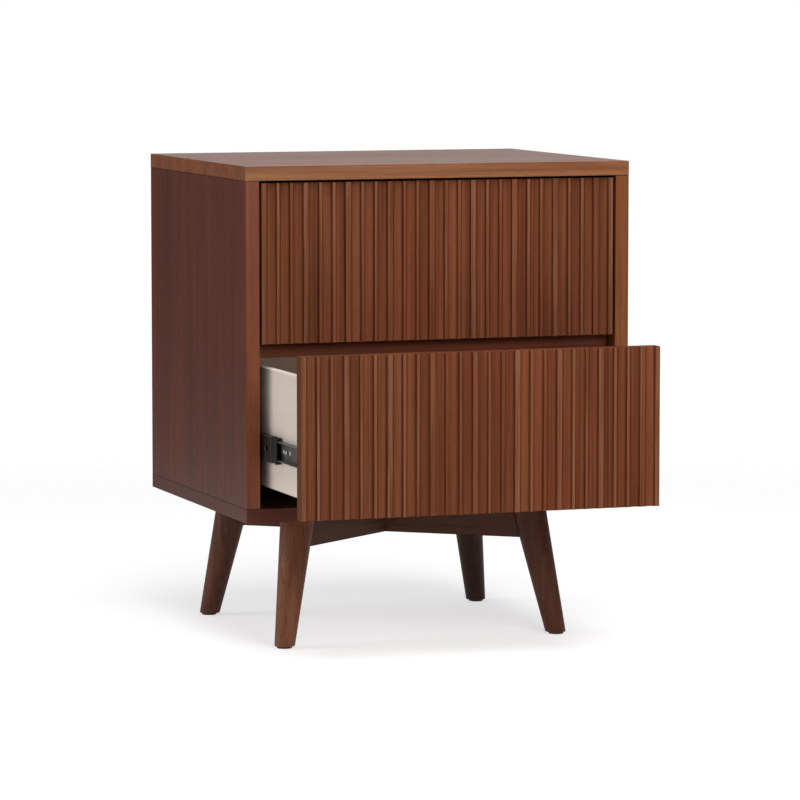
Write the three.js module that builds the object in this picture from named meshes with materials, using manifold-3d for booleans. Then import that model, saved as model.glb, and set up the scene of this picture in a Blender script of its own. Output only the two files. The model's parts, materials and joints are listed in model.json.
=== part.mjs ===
// Walnut nightstand with two fluted drawers on a splayed-leg cross base.
// Millimetres, +Z up, front faces -Y. The lower drawer stands partly open, as the rest pose.
// Pieces are drawn in cabinet coordinates: X centred, Y = 0 on the cabinet's front plane,
// Z = 0 on the floor. The whole group is shifted in Y at the end so that the origin is
// under the middle of the object's box.
import * as THREE from 'three';
import { mergeVertices } from 'three/addons/utils/BufferGeometryUtils.js';
import Module from 'manifold-3d';

const wasm = await Module();
wasm.setup();

// ---- driving dimensions ----
const cabinetWidth = 560;
const cabinetDepth = 460;
const totalHeight = 672;
const legHeight = 185.5;          // floor to the underside of the bottom panel
const topThickness = 20;
const panelThickness = 19.5;      // sides and bottom
const clearance = 0.3;            // kept round every piece that sits in a hole or against a cut

const backPanelThickness = 5;
const backPanelInset = 9;         // rear edge of the cabinet to the back panel
const backGrooveDepth = 7;

const railHeight = 40;
const railThickness = 19.5;
const railSetBack = 33;           // behind the front plane

const frontThickness = 20;
const frontSetBack = 1.5;
const frontSideGap = 3.5;
const frontGap = 3;               // above, between and below the two fronts
const coveWidth = 14.8;
const coveDepth = 3.6;
const narrowLand = 4.4;
const wideLand = 7.5;
const coveCount = 25;
const covesPerGroup = 3;
const coveSegments = 10;
const coveSquareness = 3;         // 2 is a round cove; more gives a flatter floor and steeper walls

const boxWallThickness = 12;
const boxBottomThickness = 5;
const boxHeight = 163;
const boxLength = 400;
const boxRise = 25.5;             // front's lower edge to the box's lower edge
const boxBottomRise = 10;
const boxGrooveDepth = 6;
const slideRise = 56.5;           // box's lower edge to the slide's centre line

const slideLength = 400;
const slideSpace = 13;            // cabinet wall to drawer side
const slideSheet = 1.2;
// Distances from the cabinet wall towards the drawer, and half heights, of the three members.
const outerMember = { web: 0, open: 10.6, half: 22.5 };
const middleMember = { web: 3.2, open: 11.2, half: 18 };
const drawerMember = { web: 12.7, open: 5.2, half: 13.5 };
const middleSlots = [42, 70, 190, 300];   // set back from the slide's front end
const drawerSlots = [52, 78, 200, 300];
const clipLength = 22;
const clipWall = 2.4;
const slideSetBack = 4.5;         // behind the front panel, room for it to be pushed in
const pushUnitLength = 34;
const frontScrewHalfSpan = 190;
const frontScrewLength = boxWallThickness + 12;

const lowerDrawerOpen = 171.5;    // how far the lower drawer stands open at rest

const braceHeight = 50;
const braceThickness = 20;
const frontLegTop = { x: 171.5, y: 107.5 };
const rearLegTop = { x: 177, y: 381.5 };
const legSplay = { x: 31, y: 33 };  // how far each foot stands outside its top
const legTopRadius = 24.3;
const legFootRadius = 14.1;
const hangerRadius = 4;
const braceScrewRadius = 2.5;
const braceScrewHead = 4.5;
const braceScrewSink = 12;        // depth of the counterbore under each board
const glideHeight = 2.5;
const glideRadius = 10.5;
const glidePinRadius = 1.5;
const glidePinTop = 16;

// ---- levels and widths that follow ----
const halfWidth = cabinetWidth / 2;
const innerHalfWidth = halfWidth - panelThickness;
const floorOfBay = legHeight + panelThickness;
const ceilingOfBay = totalHeight - topThickness;
const frontHeight = (ceilingOfBay - floorOfBay - 3 * frontGap) / 2;
const drawerPitch = frontHeight + frontGap;
const frontHalfWidth = innerHalfWidth - frontSideGap;
const frontBack = frontSetBack + frontThickness;
const boxHalfWidth = innerHalfWidth - slideSpace;
const railCentre = floorOfBay + frontGap + frontHeight + frontGap / 2;
const slideFront = frontBack + slideSetBack;
const boxFront = frontBack + 0.5;
const boxInnerHalf = boxHalfWidth - boxWallThickness;

// ---- materials ----
function finish(color, roughness, metalness = 0) {
  return () => new THREE.MeshStandardMaterial({ color, roughness, metalness });
}
const walnutPanel = finish(0x6a3f30, 0.38);
const walnutFluted = finish(0x774a34, 0.42);
const walnutLeg = finish(0x4d3026, 0.4);
const walnutBrace = finish(0x40302a, 0.5);
const paleBoard = finish(0xcabfb2, 0.55);
const backBoard = finish(0x5c3b2d, 0.7);
const blackSteel = finish(0x2a282a, 0.35, 0.8);
const blackPlastic = finish(0x141414, 0.5);
const zincSteel = finish(0xa8a9ad, 0.35, 0.9);
const glideNylon = finish(0x1d1b1a, 0.6);

// ---- geometry helpers ----
function block(x0, x1, y0, y1, z0, z1) {
  const geometry = new THREE.BoxGeometry(x1 - x0, y1 - y0, z1 - z0);
  return geometry.translate((x0 + x1) / 2, (y0 + y1) / 2, (z0 + z1) / 2);
}

// A rod from one point to another; the larger end radius may differ for a cone.
function rod(from, to, radius, sides = 10, endRadius = radius) {
  const a = new THREE.Vector3(...from);
  const b = new THREE.Vector3(...to);
  const geometry = new THREE.CylinderGeometry(endRadius, radius, a.distanceTo(b), sides);
  const direction = b.clone().sub(a).normalize();
  const turn = new THREE.Quaternion().setFromUnitVectors(new THREE.Vector3(0, 1, 0), direction);
  return geometry.applyQuaternion(turn).translate(...a.add(b).multiplyScalar(0.5).toArray());
}

// An outline in X and Z, extruded along Y from y0 to y1.
function extrudeAlongY(points, y0, y1) {
  const shape = new THREE.Shape(points.map(([x, z]) => new THREE.Vector2(x, z)));
  const geometry = new THREE.ExtrudeGeometry(shape, { depth: y1 - y0, bevelEnabled: false });
  return geometry.rotateX(Math.PI / 2).translate(0, y1, 0);
}

function toSolid(geometry) {
  const bare = geometry.clone();
  bare.deleteAttribute('normal');
  bare.deleteAttribute('uv');
  const merged = mergeVertices(bare, 1e-4);
  return new wasm.Manifold(new wasm.Mesh({
    numProp: 3,
    vertProperties: new Float32Array(merged.attributes.position.array),
    triVerts: new Uint32Array(merged.index.array),
  }));
}

function toGeometry(solid) {
  const mesh = solid.getMesh();
  const geometry = new THREE.BufferGeometry();
  geometry.setAttribute('position', new THREE.BufferAttribute(new Float32Array(mesh.vertProperties), 3));
  geometry.setIndex(new THREE.BufferAttribute(new Uint32Array(mesh.triVerts), 1));
  return geometry;
}

function cut(geometry, tools) {
  let solid = toSolid(geometry);
  for (const tool of tools) {
    solid = solid.subtract(toSolid(tool));
  }
  return toGeometry(solid);
}

function joined(geometries) {
  return toGeometry(geometries.map(toSolid).reduce((sum, solid) => sum.add(solid)));
}

function addPiece(parent, name, geometry, makeMaterial) {
  const mesh = new THREE.Mesh(geometry, makeMaterial());
  mesh.name = name;
  parent.add(mesh);
}

const sides = [['left', -1], ['right', 1]];

// ---- fasteners ----
// Screws: a low head and a shank; the head lies outside the face at `seat`.
function screw(seat, direction, shankLength, shankRadius, headRadius, headHeight) {
  const at = (distance) => seat.map((value, axis) => value + direction[axis] * distance);
  return joined([
    rod(at(-headHeight), at(0), headRadius),
    rod(at(-headHeight / 2), at(shankLength), shankRadius),
  ]);
}

function screwHole(seat, direction, shankLength, shankRadius) {
  const at = (distance) => seat.map((value, axis) => value + direction[axis] * distance);
  return rod(at(-1), at(shankLength + clearance), shankRadius + clearance);
}

// ================= cabinet =================
const root = new THREE.Group();
const cabinet = new THREE.Group();
root.add(cabinet);

function slideX(side, fromWall) {
  return side * (innerHalfWidth - fromWall);
}

const backGroove = block(
  -innerHalfWidth - backGrooveDepth, innerHalfWidth + backGrooveDepth,
  cabinetDepth - backPanelInset - backPanelThickness - clearance,
  cabinetDepth - backPanelInset + clearance,
  floorOfBay - backGrooveDepth, ceilingOfBay + backGrooveDepth,
);

// ---- base: legs and crossing boards ----
const legs = [
  { name: 'front_left', sx: -1, top: frontLegTop, sy: -1 },
  { name: 'front_right', sx: 1, top: frontLegTop, sy: -1 },
  { name: 'rear_left', sx: -1, top: rearLegTop, sy: 1 },
  { name: 'rear_right', sx: 1, top: rearLegTop, sy: 1 },
].map((leg) => {
  const top = new THREE.Vector3(leg.sx * leg.top.x, leg.top.y, legHeight);
  const foot = new THREE.Vector3(top.x + leg.sx * legSplay.x, top.y + leg.sy * legSplay.y, 0);
  return { name: leg.name, top, foot };
});

// A leg's cone, run past both its cuts and grown all round by `grow`.
function legCone(leg, grow = 0) {
  const along = leg.foot.clone().sub(leg.top);
  const extra = 0.15;
  const taper = legFootRadius - legTopRadius;
  const start = leg.top.clone().addScaledVector(along, -extra);
  const end = leg.top.clone().addScaledVector(along, 1 + extra);
  const startRadius = legTopRadius - taper * extra + grow;
  const endRadius = legFootRadius + taper * extra + grow;
  return rod(start.toArray(), end.toArray(), startRadius, 32, endRadius);
}

// A hanger bolt stands upright in each leg's top and screws into the bottom panel.
const hangerInLeg = 34;
const hangerInPanel = 13;
function hangerBolt({ top }, grow = 0) {
  return rod(
    [top.x, top.y, legHeight - hangerInLeg - grow], [top.x, top.y, legHeight + hangerInPanel + grow],
    hangerRadius + grow,
  );
}

// A nylon glide is a disc with a nail that is driven up into the foot.
function glidePin({ foot }, grow = 0) {
  return rod([foot.x, foot.y, glideHeight / 2], [foot.x, foot.y, glidePinTop + grow], glidePinRadius + grow);
}

const braces = [
  { name: 'front_left', from: legs[0], to: legs[3], notch: 1 },
  { name: 'front_right', from: legs[1], to: legs[2], notch: -1 },
];
const braceMiddle = legHeight - braceHeight / 2;
const legSpreadRatio = frontLegTop.x / (frontLegTop.x + rearLegTop.x);
const crossingY = frontLegTop.y + (rearLegTop.y - frontLegTop.y) * legSpreadRatio;

// Screws go up through the boards, from a counterbore, into the bottom panel.
const up = [0, 0, 1];
const braceScrewLength = braceHeight - braceScrewSink + 13;
const braceScrews = braces.flatMap(({ name, from, to }) => [['front', 0.27], ['rear', 0.73]].map(
  ([end, share]) => {
    const seat = from.top.clone().lerp(to.top, share);
    return { name: `${name}_${end}`, seat: [seat.x, seat.y, legHeight - braceHeight + braceScrewSink] };
  },
));
const braceScrewHoles = braceScrews.map(({ seat }) => screwHole(seat, up, braceScrewLength, braceScrewRadius));
const braceCounterbores = braceScrews.map(({ seat: [x, y, z] }) => rod(
  [x, y, z - braceHeight], [x, y, z], braceScrewHead + clearance, 12,
));

addPiece(cabinet, 'bottom_panel', cut(
  block(-halfWidth, halfWidth, 0, cabinetDepth, legHeight, floorOfBay),
  [backGroove, ...legs.map((leg) => hangerBolt(leg, clearance)), ...braceScrewHoles],
), walnutPanel);

for (const leg of legs) {
  const trimmed = toSolid(legCone(leg)).intersect(
    toSolid(block(-400, 400, -100, 600, glideHeight + clearance, legHeight - clearance)),
  );
  addPiece(cabinet, `${leg.name}_leg`, cut(
    toGeometry(trimmed), [hangerBolt(leg, clearance), glidePin(leg, clearance)],
  ), walnutLeg);
  addPiece(cabinet, `${leg.name}_leg_hanger_bolt`, hangerBolt(leg), zincSteel);
  addPiece(cabinet, `${leg.name}_leg_glide`, joined([
    rod([leg.foot.x, leg.foot.y, 0], [leg.foot.x, leg.foot.y, glideHeight], glideRadius, 20),
    glidePin(leg),
  ]), glideNylon);
}

// The boards are halved over each other where they cross, and coped round the legs.
for (const brace of braces) {
  const run = brace.to.top.clone().sub(brace.from.top);
  const length = run.length();
  const angle = Math.atan2(run.y, run.x);
  const middle = brace.from.top.clone().lerp(brace.to.top, 0.5);
  const board = new THREE.BoxGeometry(length, braceThickness, braceHeight - clearance)
    .rotateZ(angle)
    .translate(middle.x, middle.y, braceMiddle - clearance / 2);
  const notch = new THREE.BoxGeometry(length, braceThickness + 2 * clearance, braceHeight)
    .rotateZ(Math.PI - angle)
    .translate(0, crossingY, braceMiddle + brace.notch * (braceHeight - clearance) / 2);
  addPiece(cabinet, `cross_brace_${brace.name}`, cut(board, [
    notch,
    ...legs.map((leg) => legCone(leg, clearance)),
    ...braceScrewHoles,
    ...braceCounterbores,
  ]), walnutBrace);
}
for (const { name, seat } of braceScrews) {
  addPiece(cabinet, `cross_brace_screw_${name}`,
    screw(seat, up, braceScrewLength, braceScrewRadius, braceScrewHead, 3), zincSteel);
}

// ---- carcass ----
addPiece(cabinet, 'top_panel', cut(
  block(-halfWidth, halfWidth, 0, cabinetDepth, ceilingOfBay, totalHeight), [backGroove],
), walnutPanel);

for (const [sideName, side] of sides) {
  const faces = [side * halfWidth, side * innerHalfWidth];
  addPiece(cabinet, `${sideName}_side_panel`, cut(
    block(Math.min(...faces), Math.max(...faces), 0, cabinetDepth, floorOfBay, ceilingOfBay), [backGroove],
  ), walnutPanel);
}

const backReach = backGrooveDepth - 1;
addPiece(cabinet, 'back_panel', block(
  -innerHalfWidth - backReach, innerHalfWidth + backReach,
  cabinetDepth - backPanelInset - backPanelThickness, cabinetDepth - backPanelInset,
  floorOfBay - backReach, ceilingOfBay + backReach,
), backBoard);

addPiece(cabinet, 'middle_rail', block(
  -innerHalfWidth, innerHalfWidth, railSetBack, railSetBack + railThickness,
  railCentre - railHeight / 2, railCentre + railHeight / 2,
), walnutPanel);

// ================= ball-bearing slides =================
// A C-section channel: the web stands `web` from the cabinet wall, and the flanges run to `open`.
function channel(side, member, level, y0, y1, sheet = slideSheet) {
  const { web, open, half } = member;
  const webInner = web + Math.sign(open - web) * slideSheet;
  const outline = [
    [web, -half], [open, -half], [open, -half + sheet], [webInner, -half + sheet],
    [webInner, half - sheet], [open, half - sheet], [open, half], [web, half],
  ];
  return extrudeAlongY(outline.map(([fromWall, z]) => [slideX(side, fromWall), level + z]), y0, y1);
}

// A round-ended slot through a member's web.
function slot(side, member, level, y, length, height) {
  const faces = [slideX(side, member.web - 3), slideX(side, member.web + 3)];
  const [low, high] = [Math.min(...faces), Math.max(...faces)];
  const reach = (length - height) / 2;
  const outline = new THREE.Shape();
  outline.absarc(reach, 0, height / 2, -Math.PI / 2, Math.PI / 2, false);
  outline.absarc(-reach, 0, height / 2, Math.PI / 2, Math.PI * 1.5, false);
  return new THREE.ExtrudeGeometry(outline, { depth: high - low, bevelEnabled: false, curveSegments: 6 })
    .rotateX(Math.PI / 2)
    .rotateZ(Math.PI / 2)
    .translate(low, y, level);
}

function addSlide(name, side, level, groups) {
  const rear = slideFront + slideLength;
  const stopRear = rear - pushUnitLength - 4;
  addPiece(cabinet, `${name}_cabinet_member`,
    channel(side, outerMember, level, slideFront, rear), blackSteel);
  addPiece(groups.middle, `${name}_middle_member`, cut(
    channel(side, middleMember, level, slideFront + clipLength + clearance, stopRear),
    middleSlots.map((setBack) => slot(side, middleMember, level, slideFront + setBack, 14, 8)),
  ), blackSteel);
  addPiece(groups.middle, `${name}_end_clip`,
    channel(side, middleMember, level, slideFront, slideFront + clipLength, clipWall), blackPlastic);
  addPiece(groups.drawer, `${name}_drawer_member`, cut(
    channel(side, drawerMember, level, slideFront, stopRear),
    drawerSlots.map((setBack) => slot(side, drawerMember, level, slideFront + setBack, 11, 6)),
  ), blackSteel);
  // The push-to-open unit fills the rear end of the cabinet member.
  const faces = [slideX(side, slideSheet + clearance), slideX(side, outerMember.open)];
  addPiece(cabinet, `${name}_push_to_open_unit`, block(
    Math.min(...faces), Math.max(...faces), rear - pushUnitLength, rear, level - 14, level + 14,
  ), blackPlastic);
}

// ================= drawers =================
// Front outline seen from above: coves in groups of three, with flat lands between them.
function flutedOutline() {
  const landAfter = (cove) => ((cove + 1) % covesPerGroup === 0 ? wideLand : narrowLand);
  const wideLands = Math.floor((coveCount - 1) / covesPerGroup);
  const narrowLands = coveCount - 1 - wideLands;
  const fluted = coveCount * coveWidth + wideLands * wideLand + narrowLands * narrowLand;
  const bend = 2 / coveSquareness;
  const points = [new THREE.Vector2(-frontHalfWidth, frontSetBack)];
  let coveStart = -fluted / 2;
  for (let cove = 0; cove < coveCount; cove += 1) {
    const middle = coveStart + coveWidth / 2;
    for (let step = 0; step <= coveSegments; step += 1) {
      const turn = Math.PI * (1 - step / coveSegments);
      const across = Math.sign(Math.cos(turn)) * Math.abs(Math.cos(turn)) ** bend * coveWidth / 2;
      const depth = coveDepth * Math.max(Math.sin(turn), 0) ** bend;
      points.push(new THREE.Vector2(middle + across, frontSetBack + depth));
    }
    coveStart += coveWidth + landAfter(cove);
  }
  points.push(new THREE.Vector2(frontHalfWidth, frontSetBack));
  points.push(new THREE.Vector2(frontHalfWidth, frontBack));
  points.push(new THREE.Vector2(-frontHalfWidth, frontBack));
  return points;
}

function movingGroup(forward) {
  const group = new THREE.Group();
  group.position.y = -forward;
  cabinet.add(group);
  return group;
}

// The middle members of the slides run out half as far as the drawer.
function addDrawer(name, index, opening) {
  const groups = { drawer: movingGroup(opening), middle: movingGroup(opening / 2) };
  const { drawer } = groups;
  const frontLow = floorOfBay + frontGap + index * drawerPitch;
  const boxLow = frontLow + boxRise;
  const boxTop = boxLow + boxHeight;
  const boxRear = boxFront + boxLength;
  const bottomLow = boxLow + boxBottomRise;

  const forwards = [0, -1, 0];
  const frontScrews = sides.map(([sideName, side]) => ({
    name: `${name}_front_screw_${sideName}`,
    seat: [side * frontScrewHalfSpan, boxFront + boxWallThickness, boxLow + boxHeight / 2],
  }));
  const frontScrewHoles = frontScrews.map(({ seat }) => screwHole(seat, forwards, frontScrewLength, 2));

  const front = new THREE.ExtrudeGeometry(
    new THREE.Shape(flutedOutline()), { depth: frontHeight, bevelEnabled: false },
  ).translate(0, 0, frontLow);
  addPiece(drawer, `${name}_fluted_front`, cut(front, frontScrewHoles), walnutFluted);

  const groove = block(
    -boxInnerHalf - boxGrooveDepth, boxInnerHalf + boxGrooveDepth,
    boxFront + boxWallThickness - boxGrooveDepth, boxRear - boxWallThickness + boxGrooveDepth,
    bottomLow - clearance, bottomLow + boxBottomThickness + clearance,
  );
  for (const [sideName, side] of sides) {
    const faces = [side * boxHalfWidth, side * boxInnerHalf];
    addPiece(drawer, `${name}_box_${sideName}_side`, cut(
      block(Math.min(...faces), Math.max(...faces), boxFront, boxRear, boxLow, boxTop), [groove],
    ), paleBoard);
  }
  for (const [wallName, y] of [['front_wall', boxFront], ['back_wall', boxRear - boxWallThickness]]) {
    addPiece(drawer, `${name}_box_${wallName}`, cut(
      block(-boxInnerHalf, boxInnerHalf, y, y + boxWallThickness, boxLow, boxTop),
      [groove, ...frontScrewHoles],
    ), paleBoard);
  }
  const bottomReach = boxGrooveDepth - 1;
  addPiece(drawer, `${name}_box_bottom`, block(
    -boxInnerHalf - bottomReach, boxInnerHalf + bottomReach,
    boxFront + boxWallThickness - bottomReach, boxRear - boxWallThickness + bottomReach,
    bottomLow, bottomLow + boxBottomThickness,
  ), paleBoard);
  for (const { name: screwName, seat: [x, y, z] } of frontScrews) {
    addPiece(drawer, screwName,
      screw([x, y + clearance / 2, z], forwards, frontScrewLength, 2, 4, 2.2), zincSteel);
  }
  for (const [sideName, side] of sides) {
    addSlide(`${name}_${sideName}_slide`, side, boxLow + slideRise, groups);
  }
}

addDrawer('lower_drawer', 0, lowerDrawerOpen);
addDrawer('upper_drawer', 1, 0);

// Origin under the middle of the box that the object fills with its lower drawer open.
const openFront = frontSetBack - lowerDrawerOpen;
root.position.y = -(cabinetDepth + openFront) / 2;
root.updateMatrixWorld(true);

export default root;
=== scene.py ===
"""Walnut nightstand with two fluted drawers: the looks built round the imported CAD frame.

The CAD nodes stay where they are. Plain boards get a material and eased arrises; the fluted
fronts, legs, end clips and screws are rebuilt on the sizes of the nodes they stand in for.
"""
import json
import math
from collections import namedtuple

import bmesh
import bpy
from mathutils import Matrix, Vector


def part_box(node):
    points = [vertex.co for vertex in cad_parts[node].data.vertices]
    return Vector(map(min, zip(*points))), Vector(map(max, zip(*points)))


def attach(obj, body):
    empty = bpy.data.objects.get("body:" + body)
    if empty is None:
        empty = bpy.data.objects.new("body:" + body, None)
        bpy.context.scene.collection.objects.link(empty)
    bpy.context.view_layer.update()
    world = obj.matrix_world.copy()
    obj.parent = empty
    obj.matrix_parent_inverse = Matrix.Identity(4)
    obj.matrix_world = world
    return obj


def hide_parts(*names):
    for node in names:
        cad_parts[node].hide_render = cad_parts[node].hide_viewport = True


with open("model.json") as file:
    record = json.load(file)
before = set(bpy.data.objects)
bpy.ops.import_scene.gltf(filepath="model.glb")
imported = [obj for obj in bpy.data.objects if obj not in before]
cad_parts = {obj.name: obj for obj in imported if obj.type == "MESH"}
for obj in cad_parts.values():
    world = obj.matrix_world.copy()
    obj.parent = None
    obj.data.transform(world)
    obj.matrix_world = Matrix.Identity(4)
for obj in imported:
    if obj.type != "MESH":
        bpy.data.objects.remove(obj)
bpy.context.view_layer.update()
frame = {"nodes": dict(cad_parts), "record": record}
nodes = frame["nodes"]

MM = 0.001
MERGE_DISTANCE = 1e-6

# ---------------------------------------------------------------- driving sizes, as in the CAD
COVE_WIDTH = 14.8 * MM
COVE_DEPTH = 3.6 * MM
NARROW_LAND = 4.4 * MM
WIDE_LAND = 7.5 * MM
COVE_COUNT = 25
COVES_PER_GROUP = 3
COVE_SQUARENESS = 3.0        # 2 is a round cove; more gives a flatter floor and steeper walls
LEG_TOP_RADIUS = 24.3 * MM
LEG_FOOT_RADIUS = 14.1 * MM

# ---------------------------------------------------------------- camera and light
CAMERA_PLACE = (-2.02216, -5.70305, 0.92529)
CAMERA_YAW = 19.457          # degrees to the right of straight at the front
CAMERA_PITCH = 5.594         # degrees down
CAMERA_LENS = 193.79         # mm on a 36 mm sensor

WHITE = (1, 1, 1, 1)
BACKDROP_STRENGTH = 1.0      # what the camera sees behind the object
FILL_STRENGTH = 0.16         # what lights it from all round

# Area lights: place, target, width and height in metres, then watts.
LIGHTS = {
    "overhead": ((0.0, -1.1, 2.6), (0, -0.1, 0), 2.4, 1.9, 76),
    "front_key": ((0.1, -2.4, 1.2), (0, 0, 0.42), 1.3, 0.7, 22),
    "left_fill": ((-3.5, 0.75, 1.3), (0, 0, 0.4), 1.9, 2.2, 54),
    "back_card": ((2.2, 6.0, 1.45), (0, 0, 0.67), 4.0, 2.6, 19),
}


def make_camera():
    data = bpy.data.cameras.new("camera")
    data.lens = CAMERA_LENS
    data.sensor_width = 36.0
    data.clip_end = 100.0
    camera = bpy.data.objects.new("camera", data)
    bpy.context.scene.collection.objects.link(camera)
    camera.location = CAMERA_PLACE
    camera.rotation_euler = (math.radians(90 - CAMERA_PITCH), 0, math.radians(-CAMERA_YAW))
    bpy.context.scene.camera = camera


def softbox(name, place, target, width, height, watts):
    """A rectangular area light that the camera doesn't see."""
    data = bpy.data.lights.new(name, "AREA")
    data.shape = "RECTANGLE"
    data.size = width
    data.size_y = height
    data.energy = watts
    light = bpy.data.objects.new(name, data)
    bpy.context.scene.collection.objects.link(light)
    light.location = place
    light.visible_camera = False
    aim = Vector(target) - Vector(place)
    light.rotation_euler = aim.to_track_quat("-Z", "Y").to_euler()


def make_world():
    """A dim even studio; the backdrop that the camera sees is white."""
    world = bpy.data.worlds.new("studio")
    bpy.context.scene.world = world
    world.use_nodes = True
    tree = world.node_tree
    tree.nodes.clear()
    out = tree.nodes.new("ShaderNodeOutputWorld")
    path = tree.nodes.new("ShaderNodeLightPath")
    pick = tree.nodes.new("ShaderNodeMixShader")
    tree.links.new(path.outputs["Is Camera Ray"], pick.inputs[0])
    for slot, strength in ((1, FILL_STRENGTH), (2, BACKDROP_STRENGTH)):
        background = tree.nodes.new("ShaderNodeBackground")
        background.inputs["Color"].default_value = WHITE
        background.inputs["Strength"].default_value = strength
        tree.links.new(background.outputs[0], pick.inputs[slot])
    tree.links.new(pick.outputs[0], out.inputs["Surface"])


# ---------------------------------------------------------------- shader building
# Noise drawn out along the grain: how often it varies per metre across and along the grain.
Layer = namedtuple("Layer", "across along detail roughness distortion", defaults=(0.0,))


class Shader:
    """A node material round one Principled shader."""

    def __init__(self, name):
        self.material = bpy.data.materials.new(name)
        self.material.use_nodes = True
        self.tree = self.material.node_tree
        self.tree.nodes.clear()
        self.output = self.tree.nodes.new("ShaderNodeOutputMaterial")
        self.surface = self.tree.nodes.new("ShaderNodeBsdfPrincipled")
        self.tree.links.new(self.surface.outputs[0], self.output.inputs["Surface"])

    def feed(self, socket, value):
        """Links a socket to another, or sets its own value; a colour gets its alpha added."""
        if isinstance(value, bpy.types.NodeSocket):
            self.tree.links.new(value, socket)
        elif hasattr(socket.default_value, "__len__") and hasattr(value, "__len__"):
            room = len(socket.default_value)
            padded = tuple(value) + (1.0,) * (room - len(value))
            socket.default_value = padded[:room]
        else:
            socket.default_value = value

    def set(self, **values):
        """Feeds the Principled shader's sockets, named with _ for each space."""
        for name, value in values.items():
            self.feed(self.surface.inputs[name.replace("_", " ")], value)

    def node(self, kind, settings=None, **values):
        made = self.tree.nodes.new("ShaderNode" + kind)
        for name, value in (settings or {}).items():
            setattr(made, name, value)
        for name, value in values.items():
            self.feed(made.inputs[name.replace("_", " ")], value)
        return made

    def math(self, operation, a, b=0.0):
        made = self.node("Math", {"operation": operation})
        self.feed(made.inputs[0], a)
        self.feed(made.inputs[1], b)
        return made.outputs[0]

    def vector_math(self, operation, a, b):
        made = self.node("VectorMath", {"operation": operation})
        self.feed(made.inputs[0], a)
        self.feed(made.inputs[1], b)
        return made.outputs

    def split(self, vector):
        return self.node("SeparateXYZ", None, Vector=vector).outputs

    def position(self):
        """X, Y and Z of the point, in metres in the row's frame at rest."""
        return self.split(self.node("TexCoord").outputs["Object"])

    def facing(self):
        """X, Y and Z of the surface's own normal."""
        return self.split(self.node("NewGeometry").outputs["Normal"])

    def place(self, turn=(0, 0, 0)):
        """Object coordinates, turned so that the grain runs along Z."""
        source = self.node("TexCoord").outputs["Object"]
        turned = self.node("Mapping", {"vector_type": "POINT"}, Vector=source, Rotation=turn)
        return turned.outputs[0]

    def noise(self, vector, scale, detail, roughness, distortion=0.0):
        made = self.node("TexNoise", None, Vector=vector, Scale=scale, Detail=detail,
                         Roughness=roughness, Distortion=distortion)
        return made.outputs["Fac"]

    def grain(self, here, layer):
        """Noise drawn out along Z, as the layer says."""
        drawn_out = (layer.across, layer.across, layer.along)
        stretched = self.vector_math("MULTIPLY", here, drawn_out)[0]
        return self.noise(stretched, 1.0, layer.detail, layer.roughness, layer.distortion)

    def chance(self, value):
        """A value from 0 to 1 that jumps with each whole number."""
        return self.node("TexWhiteNoise", {"noise_dimensions": "1D"}, W=value).outputs["Value"]

    def spread(self, value, low, high, out_low=0.0, out_high=1.0, smooth=True):
        """The value's range from low to high mapped to another, and held beyond its ends."""
        kind = "SMOOTHSTEP" if smooth else "LINEAR"
        made = self.node("MapRange", {"interpolation_type": kind, "clamp": True}, Value=value,
                         From_Min=low, From_Max=high, To_Min=out_low, To_Max=out_high)
        return made.outputs[0]

    def blend(self, share, a, b, mode="MIX"):
        made = self.node("Mix", {"data_type": "RGBA", "blend_type": mode, "clamp_result": False})
        self.feed(made.inputs["Factor"], share)
        self.feed(made.inputs[6], a)
        self.feed(made.inputs[7], b)
        return made.outputs[2]

    def multiply(self, colour, tint):
        return self.blend(1.0, colour, tint, "MULTIPLY")

    def ramp(self, value, stops):
        made = self.node("ValToRGB", None, Fac=value)
        elements = made.color_ramp.elements
        while len(elements) < len(stops):
            elements.new(0.5)
        for element, (position, colour) in zip(elements, stops):
            element.position = position
            element.color = (*colour, 1.0)
        return made.outputs[0]

    def bump(self, height, strength, distance):
        made = self.node("Bump", None, Height=height, Strength=strength, Distance=distance)
        self.feed(self.surface.inputs["Normal"], made.outputs[0])

    def arris(self, radius):
        """1 on an edge and 0 on a flat face, from the bevelled normal."""
        rounded = self.node("Bevel", {"samples": 4}, Radius=radius).outputs[0]
        true = self.node("NewGeometry").outputs["Normal"]
        alike = self.vector_math("DOT_PRODUCT", rounded, true)["Value"]
        return self.spread(alike, 0.995, 0.85)


def scaled(colour, factor):
    return tuple(c * factor for c in colour)


# ---------------------------------------------------------------- stained wood
# Turns that bring each grain direction onto Z.
GRAIN_UP = (0, 0, 0)
GRAIN_ACROSS = (0, math.radians(90), 0)
GRAIN_DEEP = (math.radians(90), 0, 0)

STAIN_LIGHT = (0.165, 0.052, 0.019)
STAIN_MIDDLE = (0.120, 0.035, 0.012)
STAIN_DARK = (0.070, 0.018, 0.006)
LAND_TONE = (0.180, 0.076, 0.042)        # worn lands between the coves
WALL_STAIN_AND_SHADE_TONE = (0.060, 0.0125, 0.0035)      # stain gathered on the cove walls, and painted shade there

DRIFT = Layer(5, 1.6, 2, 0.5)            # slow change of tint over a board
FIGURE = Layer(28, 1.5, 4, 0.55, 0.6)
STREAK = Layer(120, 2.4, 5, 0.6, 0.4)
VEIN = Layer(260, 1.3, 3, 0.55, 0.3)
FIBRE = Layer(700, 9, 3, 0.6)
PORE = Layer(1500, 55, 2, 0.5)
WALL_STAIN_AND_SHADE_PATCHES = Layer(160, 5, 3, 0.6)
LAND_WEAR = Layer(260, 7, 3, 0.6)

FIGURE_SHARE, STREAK_SHARE, FIBRE_SHARE = 0.45, 0.35, 0.2
RING_SPREAD = 0.17                       # half the range of their mix that takes the full stain
# How far the painted shade in creases reaches.
PAINTED_SHADE_REACH = 2.5 * MM
WORN_RADIUS = 1.1 * MM


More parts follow.
